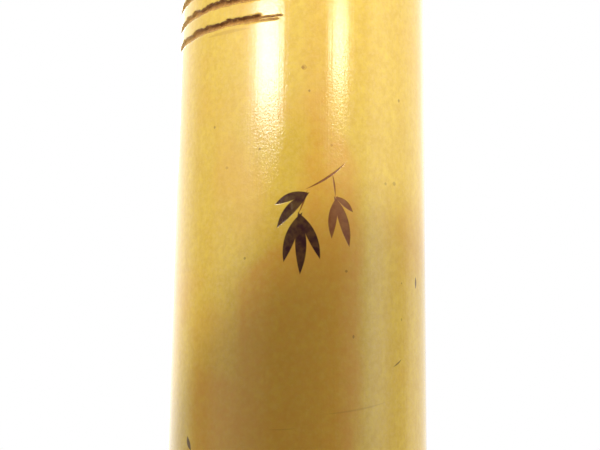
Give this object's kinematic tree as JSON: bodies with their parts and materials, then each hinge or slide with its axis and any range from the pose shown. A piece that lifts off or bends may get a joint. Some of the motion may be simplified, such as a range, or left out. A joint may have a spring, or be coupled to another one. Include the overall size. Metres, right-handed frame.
{
  "type": "shakuhachi",
  "caption": "End-blown bamboo flute with a flared root end, finger and thumb holes, a horn-inlaid blowing edge and a rattan-bound middle joint that pulls apart.",
  "frame": {"origin": "middle of the outline of the root end's flat face, on the surface that the flute stands on; the bore's axis is 5 mm behind it, at y = +0.005", "axes": "+Z along the bore from the root end to the mouthpiece; -Y is the front with the finger holes and the blowing edge, +Y the back with the thumb hole"},
  "size_m": [0.0518, 0.0518, 0.545],
  "materials": {
    "bamboo": "oil-cured golden bamboo skin, polished and glossy",
    "bore_lacquer": "polished red lacquer over a plaster ground",
    "tenon_bamboo": "dark lacquered bamboo, smooth satin",
    "horn": "polished black buffalo horn",
    "silver": "silver-plated brass, softly polished",
    "rattan": "brown lacquered split rattan, satin gloss"
  },
  "bodies": {
    "lower_section": {"lower_culm": "bamboo", "lower_bore_lining": "bore_lacquer", "lower_joint_ring": "silver", "lower_joint_winding": "rattan"},
    "upper_section": {"tenon": "tenon_bamboo", "upper_joint_ring": "silver", "upper_joint_winding": "rattan", "upper_culm": "bamboo", "upper_bore_lining": "bore_lacquer", "mouthpiece_inlay": "horn"}
  },
  "joints": [
    {"name": "joint_pull", "type": "slide", "parent": "lower_section", "child": "upper_section", "axis": [0, 0, 1], "range_m": [0, 0.04]}
  ]
}
